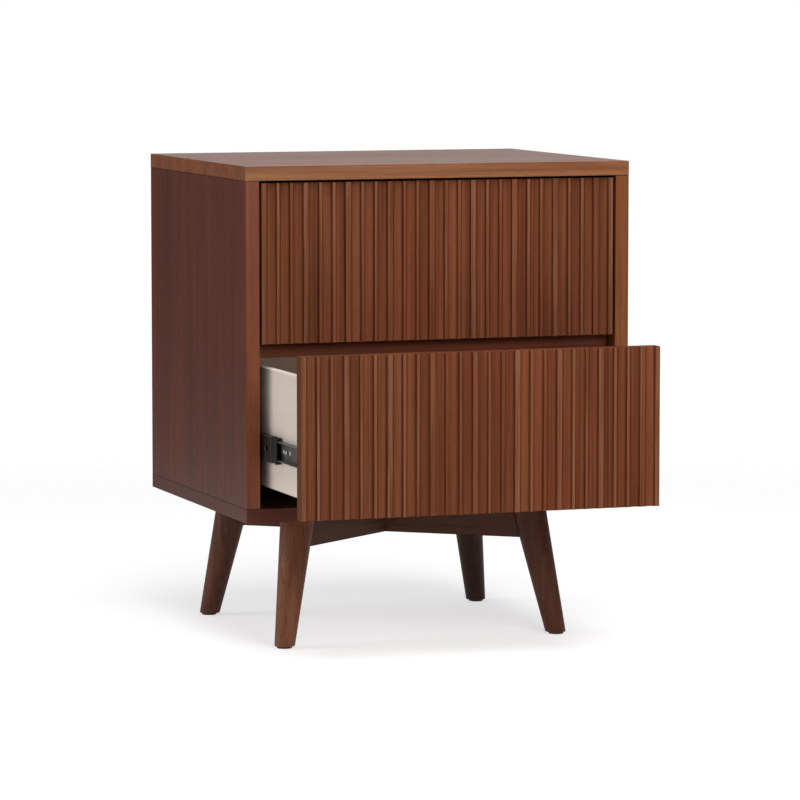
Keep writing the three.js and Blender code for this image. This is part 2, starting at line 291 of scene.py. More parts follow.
def stained_wood(name, turn, level=1.0, contrast=1.0, roughness=0.42, seed=0.0, extra=None,
                 specular=0.2, tone=(1, 1, 1), waxed_top=False):
    """Walnut-stained wood: broad figure, streaks, fibres and pores, worn pale on its arrises, with
    painted shade darkening its creases.

    `extra` is a further step on the colour, and `waxed_top` keeps the sheen to upward faces.
    """
    dark, middle, light = (tuple(c * t * level for c, t in zip(stain, tone))
                           for stain in (STAIN_DARK, STAIN_MIDDLE, STAIN_LIGHT))
    m = Shader(name)
    here = m.vector_math("ADD", m.place(turn), (seed, seed * 0.7, seed * 0.3))[0]
    drift, figure, streak, vein, fibre, pore = (
        m.grain(here, layer) for layer in (DRIFT, FIGURE, STREAK, VEIN, FIBRE, PORE))

    rings = m.math("ADD", m.math("MULTIPLY", figure, FIGURE_SHARE),
                   m.math("MULTIPLY", streak, STREAK_SHARE))
    rings = m.math("ADD", rings, m.math("MULTIPLY", fibre, FIBRE_SHARE))
    half = RING_SPREAD / contrast
    colour = m.ramp(m.spread(rings, 0.5 - half, 0.5 + half, smooth=False), [
        (0.0, dark), (0.5, middle), (1.0, light),
    ])
    tint = m.blend(m.spread(drift, 0.35, 0.65), (1.04, 0.95, 0.97), (0.96, 1.04, 1.0))
    colour = m.multiply(colour, tint)
    colour = m.blend(m.spread(vein, 0.57, 0.66, 0.0, 0.4 * contrast), colour, scaled(dark, 0.7))
    colour = m.blend(m.spread(vein, 0.42, 0.34, 0.0, 0.3 * contrast), colour, scaled(light, 1.1))
    pores = m.spread(pore, 0.60, 0.70)
    colour = m.blend(m.math("MULTIPLY", pores, 0.35), colour, scaled(dark, 0.45))
    if extra:
        colour = extra(m, colour, here)

    # Painted shade: ambient occlusion darkens the colour in creases, seams and recesses.
    occlusion = m.node("AmbientOcclusion", {"samples": 4, "only_local": False},
                       Distance=PAINTED_SHADE_REACH)
    open_air = occlusion.outputs["AO"]
    painted_crease_shade = m.spread(open_air, 0.3, 0.85, 0.8, 0.0)
    colour = m.blend(painted_crease_shade, colour, scaled(dark, 0.25))
    worn = m.math("MULTIPLY", m.arris(WORN_RADIUS), m.spread(streak, 0.35, 0.6, 0.15, 0.5))
    worn = m.math("MULTIPLY", worn, m.spread(open_air, 0.7, 0.95))
    colour = m.blend(worn, colour, scaled(light, 1.3))

    if waxed_top:
        specular = m.spread(m.facing()["Z"], 0.3, 0.8, 0.12, specular)
    gloss = m.math("ADD", m.spread(fibre, 0.3, 0.7, -0.05, 0.06), roughness)
    gloss = m.math("ADD", m.spread(figure, 0.3, 0.7, -0.04, 0.04), gloss)
    m.set(Base_Color=colour, Specular_IOR_Level=specular,
          Roughness=m.math("ADD", gloss, m.math("MULTIPLY", pores, 0.12)))
    relief = m.math("SUBTRACT", m.math("MULTIPLY", fibre, 0.5), m.math("MULTIPLY", pores, 0.6))
    m.bump(relief, 0.35, 0.15 * MM)
    return m.material


def fluted_extra(box):
    """Pale lands, stain and painted shade on the steep cove walls, and a slightly different tint
    in each cove.
    """
    low, high = box
    face = low.y
    middle = (low.x + high.x) / 2
    half = flute_span() / 2
    pitch = COVE_WIDTH + NARROW_LAND

    def extra(m, colour, here):
        place = m.position()
        x, y = place["X"], place["Y"]
        sunk = m.spread(y, face + 0.12 * MM, face + 0.7 * MM)
        # Painted shade: the steep walls down in the coves are darkened, along with the stain
        # gathered there.
        steep = m.spread(m.math("ABSOLUTE", m.facing()["X"]), 0.10, 0.60)
        from_middle = m.math("ABSOLUTE", m.math("SUBTRACT", x, middle))
        within = m.spread(from_middle, half + 0.6 * MM, half + 0.2 * MM)
        wall = m.math("MULTIPLY", m.math("MULTIPLY", steep, sunk), within)
        patchy = m.spread(m.grain(here, WALL_STAIN_AND_SHADE_PATCHES), 0.35, 0.65, 0.45, 0.9)
        colour = m.blend(m.math("MULTIPLY", wall, patchy), colour, WALL_STAIN_AND_SHADE_TONE)

        cell = m.math("FLOOR", m.math("DIVIDE", x, pitch / 2))
        tint = m.blend(m.chance(cell), (0.87, 0.85, 0.84), (1.04, 1.05, 1.09))
        colour = m.blend(sunk, colour, m.multiply(colour, tint))

        front = m.spread(y, face + 0.35 * MM, face + 0.1 * MM)
        bare = m.spread(m.grain(here, LAND_WEAR), 0.36, 0.62, 0.15, 0.95)
        luck = m.chance(m.math("FLOOR", m.math("DIVIDE", x, pitch)))
        bare = m.math("MULTIPLY", bare, m.spread(luck, 0.1, 0.9, 0.3, 1.0, smooth=False))
        return m.blend(m.math("MULTIPLY", front, bare), colour, LAND_TONE)

    return extra


def seam_shade_extra(box, ends):
    """Painted shade in the seams at the lower or upper end of a board, where it meets its
    neighbours.
    """
    low, high = box

    def extra(m, colour, here):
        z = m.position()["Z"]
        near = {"low": m.math("SUBTRACT", z, low.z), "high": m.math("SUBTRACT", high.z, z)}
        for end in ends:
            # Painted shade: a dark band along the board's end, where the seam holds shade.
            seam_shade = m.spread(near[end], 0.35 * MM, 1.0 * MM, 0.85, 0.0)
            colour = m.blend(seam_shade, colour, scaled(STAIN_DARK, 0.28))
        return colour

    return extra


def edge_band(box, tint, ends_tint=None):
    """A solid lipping of another tone on a panel's front and rear, and on its ends if asked."""
    low, high = box

    def extra(m, colour, here):
        place = m.position()
        for axis, start, end, share in ((place["Y"], low.y, high.y, tint),
                                        (place["X"], low.x, high.x, ends_tint)):
            if share is None:
                continue
            inside = m.math("MINIMUM", m.math("SUBTRACT", axis, start),
                            m.math("SUBTRACT", end, axis))
            band = m.spread(inside, 0.4 * MM, 0.8 * MM, 1.0, 0.0)
            colour = m.blend(band, colour, m.multiply(colour, share))
        return colour

    return extra


def both(*extras):
    """One extra step out of several."""

    def extra(m, colour, here):
        for step in extras:
            colour = step(m, colour, here)
        return colour

    return extra


# ---------------------------------------------------------------- other materials
BOARD_TONE = (0.66, 0.575, 0.505)
BOARD_FLECK_TONE = (0.36, 0.27, 0.19)
BOARD_BROAD = Layer(22, 2.5, 3, 0.5, 0.4)
BOARD_FINE = Layer(420, 14, 3, 0.6)
BOARD_FLECK = Layer(900, 90, 2, 0.5)

COATED_TONE = (0.016, 0.015, 0.015)
PAINTED_HIGHLIGHT_COATING_TONE = (0.060, 0.057, 0.052)      # the drawer members' coating, painted lighter as a highlight
# Bare steel at rubbed edges, also standing as a painted highlight there.
BARE_STEEL_AND_HIGHLIGHT_TONE = (0.50, 0.49, 0.47)
DRAW_LINES = Layer(900, 12, 3, 0.6)

ZINC_TONE = (0.56, 0.55, 0.54)
PASSIVATION_TONE = (0.52, 0.50, 0.42)
TURNING_MARKS = Layer(300, 2600, 2, 0.5)

PLASTIC_TONE = (0.006, 0.006, 0.006)
NYLON_TONE = (0.02, 0.018, 0.017)


def pale_board(name, turn):
    """Pale drawer board with a faint grain and a few darker flecks."""
    m = Shader(name)
    here = m.place(turn)
    broad = m.grain(here, BOARD_BROAD)
    fine = m.grain(here, BOARD_FINE)
    fleck = m.spread(m.grain(here, BOARD_FLECK), 0.64, 0.72)
    warm = tuple(c * factor for c, factor in zip(BOARD_TONE, (1.06, 1.04, 1.04)))
    colour = m.ramp(m.spread(broad, 0.3, 0.7, smooth=False), [
        (0.0, scaled(BOARD_TONE, 0.90)), (0.5, BOARD_TONE), (1.0, warm),
    ])
    colour = m.blend(m.spread(fine, 0.35, 0.7, 0.0, 0.06), colour, scaled(BOARD_TONE, 0.8))
    colour = m.blend(m.math("MULTIPLY", fleck, 0.22), colour, BOARD_FLECK_TONE)
    worn = m.math("MULTIPLY", m.arris(0.9 * MM), 0.5)
    colour = m.blend(worn, colour, scaled(BOARD_TONE, 1.2))
    m.set(Base_Color=colour, Specular_IOR_Level=0.4,
          Roughness=m.spread(fine, 0.3, 0.7, 0.42, 0.56))
    m.bump(fine, 0.06, 0.05 * MM)
    return m.material


def coated_steel(name, tone, metallic, roughness):
    """Black-coated pressed steel with draw lines, grease haze, and edges rubbed to bare steel and
    painted bright as a highlight.
    """
    m = Shader(name)
    lines = m.grain(m.place(GRAIN_DEEP), DRAW_LINES)
    haze = m.noise(m.place(), 60, 4, 0.6)
    speck = m.spread(m.noise(m.place(), 1400, 2, 0.5), 0.62, 0.72)
    colour = m.blend(m.spread(haze, 0.35, 0.65), tone, scaled(tone, 1.9))
    colour = m.blend(m.math("MULTIPLY", speck, 0.5), colour, scaled(tone, 4))
    # Edges rubbed to bare steel, and also a painted highlight along them.
    colour = m.blend(m.math("MULTIPLY", m.arris(0.8 * MM), 0.8), colour, BARE_STEEL_AND_HIGHLIGHT_TONE)
    m.set(Base_Color=colour, Metallic=metallic,
          Roughness=m.math("ADD", m.spread(lines, 0.3, 0.7, -0.06, 0.08), roughness))
    m.bump(lines, 0.2, 0.05 * MM)
    return m.material


def plated_steel(name):
    """Zinc plating: bright, with a mottled passivation and fine turning marks."""
    m = Shader(name)
    mottle = m.noise(m.place(), 420, 4, 0.6)
    marks = m.grain(m.place(), TURNING_MARKS)
    colour = m.blend(m.spread(mottle, 0.35, 0.65), ZINC_TONE, PASSIVATION_TONE)
    m.set(Base_Color=colour, Metallic=0.95,
          Roughness=m.math("ADD", m.spread(mottle, 0.3, 0.7, -0.05, 0.12), 0.28))
    m.bump(marks, 0.2, 0.04 * MM)
    return m.material


def moulded_plastic(name, tone, roughness=0.5):
    """Moulded plastic with a fine spark texture and a slight sheen on its edges."""
    m = Shader(name)
    spark = m.noise(m.place(), 2600, 3, 0.6)
    cloud = m.noise(m.place(), 90, 3, 0.5)
    colour = m.blend(m.spread(cloud, 0.35, 0.65), tone, scaled(tone, 1.7))
    colour = m.blend(m.math("MULTIPLY", m.arris(0.5 * MM), 0.4), colour, scaled(tone, 12))
    m.set(Base_Color=colour, Specular_IOR_Level=0.3,
          Roughness=m.spread(spark, 0.3, 0.7, roughness - 0.05, roughness + 0.1))
    m.bump(spark, 0.3, 0.04 * MM)
    return m.material


# ---------------------------------------------------------------- mesh helpers
def add_mesh(name, bm, material, body, sharp=30.0):
    """Makes a piece from a bmesh, smooth apart from edges over `sharp` degrees."""
    bmesh.ops.recalc_face_normals(bm, faces=bm.faces)
    mesh = bpy.data.meshes.new(name)
    bm.to_mesh(mesh)
    bm.free()
    mesh.materials.append(material)
    mesh.polygons.foreach_set("use_smooth", [True] * len(mesh.polygons))
    mesh.set_sharp_from_angle(angle=math.radians(sharp))
    piece = bpy.data.objects.new(name, mesh)
    bpy.context.scene.collection.objects.link(piece)
    if body:
        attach(piece, body)
    return piece


def skin(bm, rings):
    """Side faces between rings of as many vertices each, and a cap on the first and last."""
    count = len(rings[0])
    for lower, upper in zip(rings, rings[1:]):
        for k in range(count):
            j = (k + 1) % count
            bm.faces.new((lower[k], lower[j], upper[j], upper[k]))
    bm.faces.new(rings[0])
    bm.faces.new(rings[-1])


def round_arrises(piece, width, segments, angle):
    bevel = piece.modifiers.new("ease", "BEVEL")
    bevel.width = width
    bevel.segments = segments
    bevel.limit_method = "ANGLE"
    bevel.angle_limit = math.radians(angle)


def paint(node, material):
    """Gives a CAD node a material."""
    mesh = nodes[node].data
    mesh.materials.clear()
    mesh.materials.append(material)


def ease(node, width, segments=2, angle=40.0):
    """Rounds a CAD node's arrises with modifiers; its own mesh stays as it is."""
    piece = nodes[node]
    merge = piece.modifiers.new("merge", "WELD")
    merge.merge_threshold = 0.01 * MM
    flat = piece.modifiers.new("flat", "DECIMATE")
    flat.decimate_type = "DISSOLVE"
    flat.angle_limit = math.radians(1.0)
    round_arrises(piece, width, segments, angle)


def body_of(node):
    bodies = frame["record"]["behaviour"]["bodies"]
    return next(body for body, members in bodies.items() if node in members)


def centre_of(node):
    low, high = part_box(node)
    return (low + high) / 2


def square_axes(direction):
    """A direction's unit vector and two more at right angles to it."""
    direction = Vector(direction).normalized()
    side = direction.orthogonal().normalized()
    return direction, side, direction.cross(side)


# ---------------------------------------------------------------- floor
FLOOR_RADIUS = 2.4
FLOOR_SIDES = 96
FLOOR_DROP = 0.2 * MM        # just below the feet, so that the two faces don't flicker
FLOOR_GLOW_LIT = 0.36        # emission that lights the object
FLOOR_GLOW_SEEN = 0.625      # emission that the camera sees


def floor_material():
    """Matt studio paper: near white, fading into the backdrop at the floor's rim."""
    m = Shader("studio_floor")
    fibre = m.noise(m.place(), 35, 4, 0.6)
    colour = m.blend(m.spread(fibre, 0.3, 0.7), (0.565, 0.565, 0.57), (0.575, 0.575, 0.575))
    seen = m.node("LightPath").outputs["Is Camera Ray"]
    glow = m.spread(seen, 0.0, 1.0, FLOOR_GLOW_LIT, FLOOR_GLOW_SEEN, smooth=False)
    radius = m.node("VectorMath", {"operation": "LENGTH"})
    m.feed(radius.inputs[0], m.node("TexCoord").outputs["Object"])
    shown = m.spread(radius.outputs["Value"], FLOOR_RADIUS * 0.55, FLOOR_RADIUS * 0.98, 1.0, 0.0)
    m.set(Base_Color=colour, Roughness=0.9, Specular_IOR_Level=0.1,
          Emission_Color=(1, 1, 1), Emission_Strength=glow, Alpha=shown)
    return m.material


def make_floor():
    bm = bmesh.new()
    bmesh.ops.create_circle(bm, cap_ends=True, radius=FLOOR_RADIUS, segments=FLOOR_SIDES)
    floor = add_mesh("studio_floor", bm, floor_material(), None)
    floor.location.z = -FLOOR_DROP


# ---------------------------------------------------------------- fluted fronts
COVE_STEPS = 20
FLUTE_ARRIS = 0.45 * MM


def flute_span():
    """Width of the fluted part of a front, from the first cove to the last."""
    wide_lands = (COVE_COUNT - 1) // COVES_PER_GROUP
    narrow_lands = COVE_COUNT - 1 - wide_lands
    return COVE_COUNT * COVE_WIDTH + wide_lands * WIDE_LAND + narrow_lands * NARROW_LAND


def flute_outline(low, high):
    """The front's outline seen from above: coves in groups of three between flat lands."""
    face = low.y
    power = 2 / COVE_SQUARENESS
    points = [(low.x, face)]
    start = (low.x + high.x) / 2 - flute_span() / 2
    for cove in range(COVE_COUNT):
        for step in range(COVE_STEPS + 1):
            turn = math.pi * (1 - step / COVE_STEPS)
            across = math.copysign(abs(math.cos(turn)) ** power, math.cos(turn)) * COVE_WIDTH / 2
            depth = face + COVE_DEPTH * max(math.sin(turn), 0.0) ** power
            points.append((start + COVE_WIDTH / 2 + across, depth))
        last_of_group = (cove + 1) % COVES_PER_GROUP == 0
        start += COVE_WIDTH + (WIDE_LAND if last_of_group else NARROW_LAND)
    return points + [(high.x, face), (high.x, high.y), (low.x, high.y)]


def fluted_front(node, material):
    """A fluted front with rounded arrises, held inside the CAD front's box."""
    low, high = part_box(node)
    bm = bmesh.new()
    outline = flute_outline(low, high)
    skin(bm, [[bm.verts.new((x, y, z)) for x, y in outline] for z in (low.z, high.z)])
    bm.normal_update()
    arrises = [e for e in bm.edges if e.calc_face_angle() > math.radians(50)]
    bmesh.ops.bevel(bm, geom=arrises, offset=FLUTE_ARRIS, segments=2, profile=0.5,
                    affect="EDGES", clamp_overlap=True)
    for vertex in bm.verts:
        vertex.co = [min(max(place, least), most)
                     for place, least, most in zip(vertex.co, low, high)]
    bmesh.ops.triangulate(bm, faces=[f for f in bm.faces if len(f.verts) > 4])
    piece = add_mesh(node + "_finished", bm, material, body_of(node), 35)
    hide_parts(node)


# ---------------------------------------------------------------- legs
LEG_SIDES = 72
LEG_RIM = 0.9 * MM           # rounding at the foot
LEG_RIM_STEPS = 4
LEG_TOP_CHAMFER = 0.6 * MM
LEG_RING_SHARES = (0.1, 0.3, 0.5, 0.7, 0.9)


def leg_levels(low, high):
    """Heights of a leg's rings, each with how much its radius changes there."""
    turns = [math.radians(90 * step / LEG_RIM_STEPS) for step in range(LEG_RIM_STEPS + 1)]
    rim = [(low + LEG_RIM * (1 - math.cos(a)), -LEG_RIM * (1 - math.sin(a))) for a in turns]
    shaft = [(low + (high - low) * share, 0.0) for share in LEG_RING_SHARES]
    return rim + shaft + [(high - LEG_TOP_CHAMFER, 0.0), (high, -LEG_TOP_CHAMFER)]


def leg(name, material):
    """A splayed cone from the hanger bolt to the glide, cut level at both ends."""
    node = name + "_leg"
    low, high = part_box(node)
    top, foot = centre_of(node + "_hanger_bolt"), centre_of(node + "_glide")
    head = Vector((top.x, top.y, high.z))
    toe = Vector((foot.x, foot.y, 0.0))
    axis = (toe - head).normalized()
    side = axis.cross(Vector((0, 1, 0))).normalized()
    other = axis.cross(side)
    bm = bmesh.new()
    rings = []
    for z, inset in leg_levels(low.z, high.z):
        ring = []
        for k in range(LEG_SIDES):
            turn = 2 * math.pi * k / LEG_SIDES
            out = side * math.cos(turn) + other * math.sin(turn)
            start = head + out * (LEG_TOP_RADIUS + inset)
            end = toe + out * (LEG_FOOT_RADIUS + inset)
            ring.append(bm.verts.new(start.lerp(end, (z - start.z) / (end.z - start.z))))
        rings.append(ring)
    skin(bm, rings)
    piece = add_mesh(node + "_turned", bm, material, "cabinet", 40)
    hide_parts(node)


# ---------------------------------------------------------------- screws
ScrewSize = namedtuple("ScrewSize", "head_radius head_height shank_radius")
BRACE_SCREW = ScrewSize(4.5 * MM, 3.0 * MM, 2.5 * MM)
FRONT_SCREW = ScrewSize(4.0 * MM, 2.2 * MM, 2.0 * MM)
DRAWER_MEMBER_SCREW = ScrewSize(3.2 * MM, 1.7 * MM, 1.7 * MM)
CABINET_MEMBER_SCREW = ScrewSize(3.2 * MM, 1.4 * MM, 1.7 * MM)

SCREW_SIDES = 28
DOME_TURNS = (0, 25, 45, 62, 78, 90)     # degrees from the middle of the head to its rim
DOME_RIM = 0.45                          # share of the head's height where the dome ends
TIP_START = 0.85                         # share of the shank's length where the point begins
RECESS_TAPER = 0.7
RECESS_CLEAR = 1.5 * MM


def lathe(profile, origin, direction):
    """A bmesh of a turned shape; the profile holds (radius, distance along the direction)."""
    direction, side, other = square_axes(direction)
    bm = bmesh.new()
    rings = []
    for radius, along in profile:
        centre = Vector(origin) + direction * along
        if radius < MERGE_DISTANCE:
            rings.append([bm.verts.new(centre)])
            continue
        turns = (2 * math.pi * k / SCREW_SIDES for k in range(SCREW_SIDES))
        rings.append([bm.verts.new(centre + (side * math.cos(t) + other * math.sin(t)) * radius)
                      for t in turns])
    for a, b in zip(rings, rings[1:]):
        for k in range(SCREW_SIDES):
            j = (k + 1) % SCREW_SIDES
            corners = [a[k % len(a)], a[j % len(a)], b[j % len(b)], b[k % len(b)]]
            unique = list(dict.fromkeys(corners))
            if len(unique) > 2:
                bm.faces.new(unique)
    return bm


def carved(solid, tool):
    """The first bmesh with the second cut out of it, as a new bmesh."""
    parts = []
    for name, bm in (("carved_solid", solid), ("carved_tool", tool)):
        bmesh.ops.recalc_face_normals(bm, faces=bm.faces)
        mesh = bpy.data.meshes.new(name)
        bm.to_mesh(mesh)
        bm.free()
        parts.append(bpy.data.objects.new(name, mesh))
        bpy.context.scene.collection.objects.link(parts[-1])
    cut = parts[0].modifiers.new("cut", "BOOLEAN")
    cut.operation = "DIFFERENCE"
    cut.solver = "EXACT"
    cut.object = parts[1]
    seen = parts[0].evaluated_get(bpy.context.evaluated_depsgraph_get())
    result = bmesh.new()
    result.from_mesh(seen.to_mesh())
    seen.to_mesh_clear()
    for part in parts:
        mesh = part.data
        bpy.data.objects.remove(part)
        bpy.data.meshes.remove(mesh)
    return result


def cross_recess(origin, direction, reach, width, depth):
    """A plus-shaped prism that sinks `depth` below the origin and stands proud above it."""
    direction, side, other = square_axes(direction)
    half = width / 2
    arm = [(half, half), (half, reach), (-half, reach)]
    outline = []
    for quarter in range(4):
        turn = Matrix.Rotation(math.pi / 2 * quarter, 2)
        outline += [turn @ Vector(corner) for corner in arm]
    bm = bmesh.new()
    rings = []
    for along, share in ((depth, RECESS_TAPER), (-RECESS_CLEAR, 1.0)):
        centre = Vector(origin) + direction * along
        rings.append([bm.verts.new(centre + (side * x + other * y) * share) for x, y in outline])
    skin(bm, rings)
    return bm


def screw(name, seat, direction, size, length, material, body, node=None):
    """A pan-head screw with a cross recess; `direction` points from the head into the wood."""
    radius, height, shank = size
    dome = [(radius * math.sin(a), -height * (DOME_RIM + (1 - DOME_RIM) * math.cos(a)))
            for a in map(math.radians, DOME_TURNS)]
    profile = dome + [(radius, -0.15 * height), (radius * 0.94, 0.0),
                      (shank, 0.0), (shank, length * TIP_START), (0.0, length)]
    top = Vector(seat) - Vector(direction) * height
    recess = cross_recess(top, direction, radius * 0.55, radius * 0.24, height * 0.6)
    piece = add_mesh(name, carved(lathe(profile, seat, direction), recess), material, body, 32)
    if node:
        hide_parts(node)


# ---------------------------------------------------------------- slides
CLIP_WALL = 2.4 * MM
CLIP_WEB = 3.2 * MM          # from the cabinet wall to the clip's ribs
CLIP_OPEN = 11.2 * MM        # from the cabinet wall to the clip's lips
CLIP_WAIST = 1.8 * MM        # how far the clip is set in above and below between its knobs
CLIP_LIP_CUT = 1.6 * MM      # how far its lips are set back there
CLIP_RIB = 0.9 * MM
CLIP_ARRIS = 0.3 * MM
# Stations along the clip: share of its length, whether a knob and whether a rib stands there.
CLIP_STATIONS = (
    (0.0, True, True), (0.27, True, True), (0.27, False, False), (0.38, False, False),
    (0.38, False, True), (0.47, False, True), (0.47, False, False), (0.60, False, False),
    (0.60, False, True), (0.69, False, True), (0.69, False, False), (0.86, False, False),
    (0.86, True, True), (1.0, True, True),
)

BALL_RADIUS = 1.55 * MM
BALL_PITCH = 6.2 * MM
BALLS_PER_ROW = 9
CAGE_SHEET = 0.8 * MM
CAGE_START = 1.0 * MM
# A pair of ball rows: from where to where off the cabinet wall, and how far above and below.
Race = namedtuple("Race", "name near far height")
OUTER_RACE = Race("outer", 4.6 * MM, 9.4 * MM, 19.65 * MM)
INNER_RACE = Race("inner", 6.0 * MM, 10.4 * MM, 15.15 * MM)

# Slide screws: their seat's distance from the cabinet wall, length, and places along the member.
DRAWER_SCREW_SEAT, DRAWER_SCREW_LENGTH = 11.5 * MM, 11.0 * MM
DRAWER_SCREW_PLACES = {"front": 65 * MM, "rear": 250 * MM}
CABINET_SCREW_SEAT, CABINET_SCREW_LENGTH = 1.2 * MM, 12.0 * MM
CABINET_SCREW_PLACES = {"front": 12 * MM, "rear": 250 * MM}


class Slide:
    """One slide's places, measured from the cabinet wall towards the drawer."""

    def __init__(self, which, side):
        self.name = f"{which}_{side}_slide_"
        self.middles = which.split("_")[0] + "_slide_middles"
        self.drawer = which
        low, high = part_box(self.name + "cabinet_member")
        self.inward = 1 if side == "left" else -1
        self.wall = low.x if side == "left" else high.x
        self.level = (low.z + high.z) / 2
        self.front = low.y
        self.clip_low, self.clip_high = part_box(self.name + "end_clip")
        self.drawer_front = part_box(self.name + "drawer_member")[0].y

    def x(self, from_wall):
        return self.wall + self.inward * from_wall


def end_clip(slide, material):
    """The moulded clip: a channel with knobs at both ends and upright ribs on its web."""
    half = (slide.clip_high.z - slide.clip_low.z) / 2
    length = slide.clip_high.y - slide.clip_low.y
    floor = CLIP_WEB + CLIP_WALL
    inner = half - CLIP_WAIST - CLIP_WALL
    bm = bmesh.new()
    rings = []
    for share, knob, rib in CLIP_STATIONS:
        tall = half if knob else half - CLIP_WAIST
        web = CLIP_WEB if rib else CLIP_WEB + CLIP_RIB
        lip = CLIP_OPEN if knob else CLIP_OPEN - CLIP_LIP_CUT
        outline = [(web, -tall), (lip, -tall), (lip, -inner), (floor, -inner),
                   (floor, inner), (lip, inner), (lip, tall), (web, tall)]
        y = slide.clip_low.y + length * share
        rings.append([bm.verts.new((slide.x(a), y, slide.level + z)) for a, z in outline])
    skin(bm, rings)
    bmesh.ops.remove_doubles(bm, verts=bm.verts, dist=MERGE_DISTANCE)
    bmesh.ops.dissolve_degenerate(bm, dist=MERGE_DISTANCE, edges=bm.edges)
    piece = add_mesh(slide.name + "end_clip_moulded", bm, material, slide.middles, 30)
    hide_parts(slide.name + "end_clip")
    round_arrises(piece, CLIP_ARRIS, 2, 40)


def ball_cage(slide, race, start, body, ball_material, strip_material):
    """Two rows of balls in their retaining strips, between a pair of members."""
    balls = bmesh.new()
    strips = bmesh.new()
    middle = (race.near + race.far) / 2
    length = BALL_PITCH * (BALLS_PER_ROW + 0.4)
    for up in (-1, 1):
        z = slide.level + up * race.height
        for k in range(BALLS_PER_ROW):
            place = (slide.x(middle), start + BALL_PITCH * (k + 0.7), z)
            bmesh.ops.create_uvsphere(balls, u_segments=14, v_segments=8, radius=BALL_RADIUS,
                                      matrix=Matrix.Translation(place))
        made = bmesh.ops.create_cube(strips, size=1.0)["verts"]
        bmesh.ops.scale(strips, vec=(race.far - race.near, length, CAGE_SHEET), verts=made)
        bmesh.ops.translate(strips, vec=(slide.x(middle), start + length / 2, z), verts=made)
    bmesh.ops.bevel(strips, geom=list(strips.edges), offset=0.2 * MM, segments=1,
                    affect="EDGES")
    name = slide.name + race.name
    add_mesh(name + "_balls", balls, ball_material, body, 60)
    add_mesh(name + "_retainer", strips, strip_material, body)


def slide_details(slide, plastic, steel, zinc):
    """A slide's moulded clip, and what the CAD leaves out: its balls, strips and screws."""
    end_clip(slide, plastic)
    ball_cage(slide, OUTER_RACE, slide.front + CAGE_START, "cabinet", zinc, steel)
    ball_cage(slide, INNER_RACE, slide.clip_high.y + CAGE_START, slide.middles, zinc, steel)
    into_drawer = (slide.inward, 0, 0)
    for label, along in DRAWER_SCREW_PLACES.items():
        seat = (slide.x(DRAWER_SCREW_SEAT), slide.drawer_front + along, slide.level)
        screw(f"{slide.name}drawer_screw_{label}", seat, into_drawer, DRAWER_MEMBER_SCREW,
              DRAWER_SCREW_LENGTH, zinc, slide.drawer)
    into_wall = (-slide.inward, 0, 0)
    for label, along in CABINET_SCREW_PLACES.items():
        seat = (slide.x(CABINET_SCREW_SEAT), slide.front + along, slide.level)
        screw(f"{slide.name}cabinet_screw_{label}", seat, into_wall, CABINET_MEMBER_SCREW,
              CABINET_SCREW_LENGTH, zinc, "cabinet")


# ---------------------------------------------------------------- finishing each part
# Tones multiply the stain, and lippings multiply a panel's colour at its edges.
# Painted shade: the left side panel is made darker than the right one of the same wood.
LEFT_SIDE_SHADE_TONE = (0.72, 0.56, 0.64)
RAIL_TONE = (1.0, 0.75, 0.65)
# Painted shade: the bottom panel, under the open drawer, is made darker and redder.
BOTTOM_SHADE_TONE = (0.90, 0.62, 0.68)
FLUTED_TONE = (1.0, 1.0, 1.14)
LEG_TONE = (1.0, 1.1, 1.35)
BRACE_TONE = (1.08, 1.5, 2.4)
LEFT_LIPPING = (1.55, 1.9, 1.85)
RIGHT_LIPPING = (1.45, 1.4, 1.25)
TOP_LIPPING = (1.66, 2.4, 3.0)
TOP_END_LIPPING = (1.26, 1.47, 1.75)

# Painted light and shade: each leg's level stands in for its lighting, the front left lightest as
# if lit, the rear right darkest as if in shadow.
LEG_LIGHT_AND_SHADE_LEVELS = {"front_left": 1.25, "front_right": 0.7, "rear_left": 0.74, "rear_right": 0.3}
LEG_SEED = 27.5
BRACE_SEED = 33.3
DRAWER_SEEDS = {"upper_drawer": 41.3, "lower_drawer": 57.8}

# Widths of the eased arrises.
TOP_ARRIS = 1.2 * MM
PANEL_ARRIS = 0.8 * MM
RAIL_ARRIS = 0.5 * MM
BACK_ARRIS = 0.4 * MM
BRACE_ARRIS = 0.6 * MM
GLIDE_ARRIS = 0.5 * MM
BOX_SIDE_ARRIS = 0.8 * MM
BOX_WALL_ARRIS = 0.5 * MM
MEMBER_ARRIS = 0.35 * MM
UNIT_ARRIS = 0.8 * MM
PRESSED_ANGLE = 50           # degrees; the bends of pressed steel are left as they are


